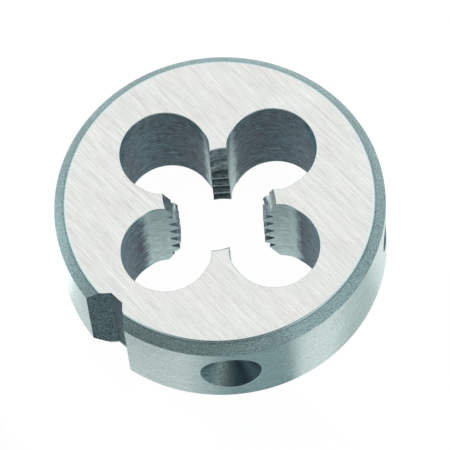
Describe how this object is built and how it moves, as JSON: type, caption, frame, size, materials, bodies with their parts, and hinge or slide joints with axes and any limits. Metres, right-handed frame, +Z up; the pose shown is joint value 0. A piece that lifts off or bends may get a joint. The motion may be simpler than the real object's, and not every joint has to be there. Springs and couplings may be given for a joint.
{
  "type": "round threading die",
  "caption": "Round threading die for a left-hand M8 x 1.25 thread: a hardened steel disc, 25 mm by 9 mm, with toothed lands between its chip holes, a V notch and conical screw seats in its rim.",
  "frame": {"origin": "Centre of the lower face, on the axis of the thread.", "axes": "+Z up along the axis of the thread, through the 9 mm thickness. +X and +Y each run along the middle of a land. The V notch in the rim faces halfway between -X and -Y."},
  "size_m": [0.025, 0.025, 0.009],
  "materials": {
    "tool_steel": "ground faces, satin chamfers, brushed rim"
  },
  "bodies": {
    "root": {"threading_die": "tool_steel"}
  },
  "joints": []
}
